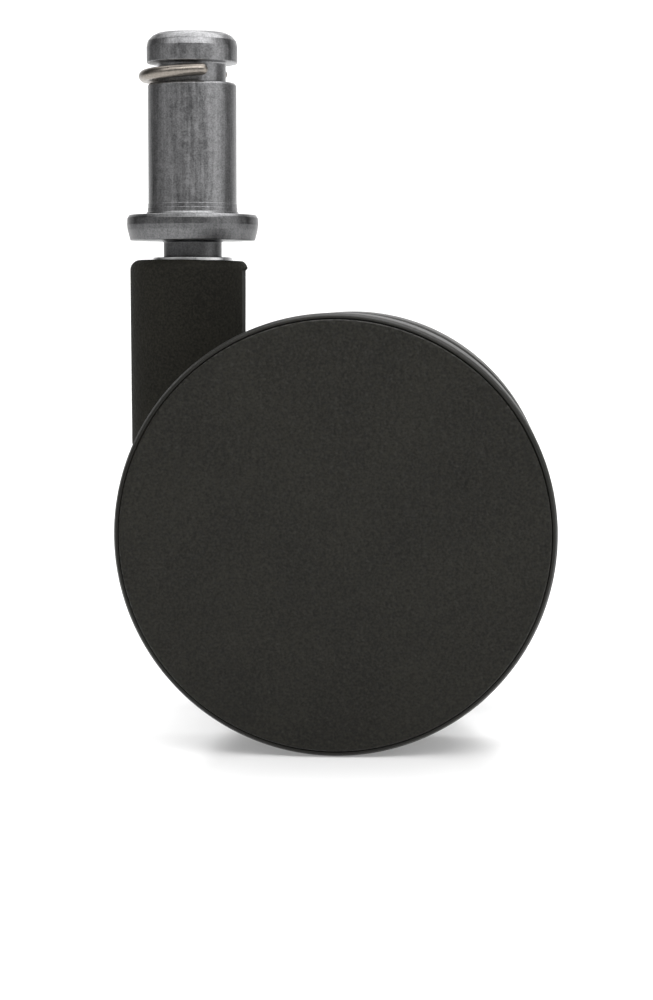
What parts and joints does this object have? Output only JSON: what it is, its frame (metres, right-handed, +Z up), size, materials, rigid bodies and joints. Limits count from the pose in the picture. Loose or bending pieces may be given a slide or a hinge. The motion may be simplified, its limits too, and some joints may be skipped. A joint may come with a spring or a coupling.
{
  "type": "twin-wheel chair caster",
  "caption": "Hooded twin-wheel chair caster: plain-faced wheels under an arched hood, trailing from a turned steel swivel stem with a grip ring in its groove.",
  "frame": {"origin": "on the stem's axis, on the flat top of the stem's shoulder, where the chair leg comes down", "axes": "+Z up along the stem, +X from the stem towards the trailing axle, +Y along the axle, so the part's left wheel is on +Y and its right wheel on -Y"},
  "size_m": [0.062, 0.049, 0.0834],
  "materials": {
    "zinc_plated_steel": "bright zinc-plated turned steel with fine lathe lines",
    "spring_steel": "drawn spring wire and strip, slightly warm grey",
    "plain_steel": "plain ground steel",
    "hood_nylon": "black moulded nylon, fine grain, satin",
    "core_nylon": "black moulded nylon, plain",
    "tread_pu": "black polyurethane, smooth satin",
    "cover_nylon": "black moulded nylon with a fine matt leather grain",
    "acetal": "natural acetal, satin"
  },
  "bodies": {
    "stem": {"stem": "zinc_plated_steel", "stem_lock_ring": "spring_steel"},
    "grip_ring": {"grip_ring": "spring_steel"},
    "caster_body": {"hood_body": "hood_nylon", "swivel_sleeve": "plain_steel", "thrust_disc": "plain_steel", "axle": "plain_steel", "axle_washer_left": "acetal", "axle_washer_right": "acetal", "axle_clip_left": "spring_steel", "axle_clip_right": "spring_steel"},
    "wheel_left": {"wheel_core_left": "core_nylon", "wheel_tread_left": "tread_pu", "wheel_cover_left": "cover_nylon", "hub_bush_left": "acetal"},
    "wheel_right": {"wheel_core_right": "core_nylon", "wheel_tread_right": "tread_pu", "wheel_cover_right": "cover_nylon", "hub_bush_right": "acetal"}
  },
  "joints": [
    {"name": "swivel", "type": "hinge", "parent": "stem", "child": "caster_body", "pos_m": [0, 0, -0.012], "axis": [0, 0, 1], "continuous": true},
    {"name": "wheel_left_roll", "type": "hinge", "parent": "caster_body", "child": "wheel_left", "pos_m": [0.0184, 0.016, -0.0367], "axis": [0, 1, 0], "continuous": true},
    {"name": "wheel_right_roll", "type": "hinge", "parent": "caster_body", "child": "wheel_right", "pos_m": [0.0184, -0.016, -0.0367], "axis": [0, 1, 0], "continuous": true},
    {"name": "grip_ring_turn", "type": "hinge", "parent": "stem", "child": "grip_ring", "pos_m": [0, 0, 0.0169], "axis": [0, 0, 1], "continuous": true}
  ]
}
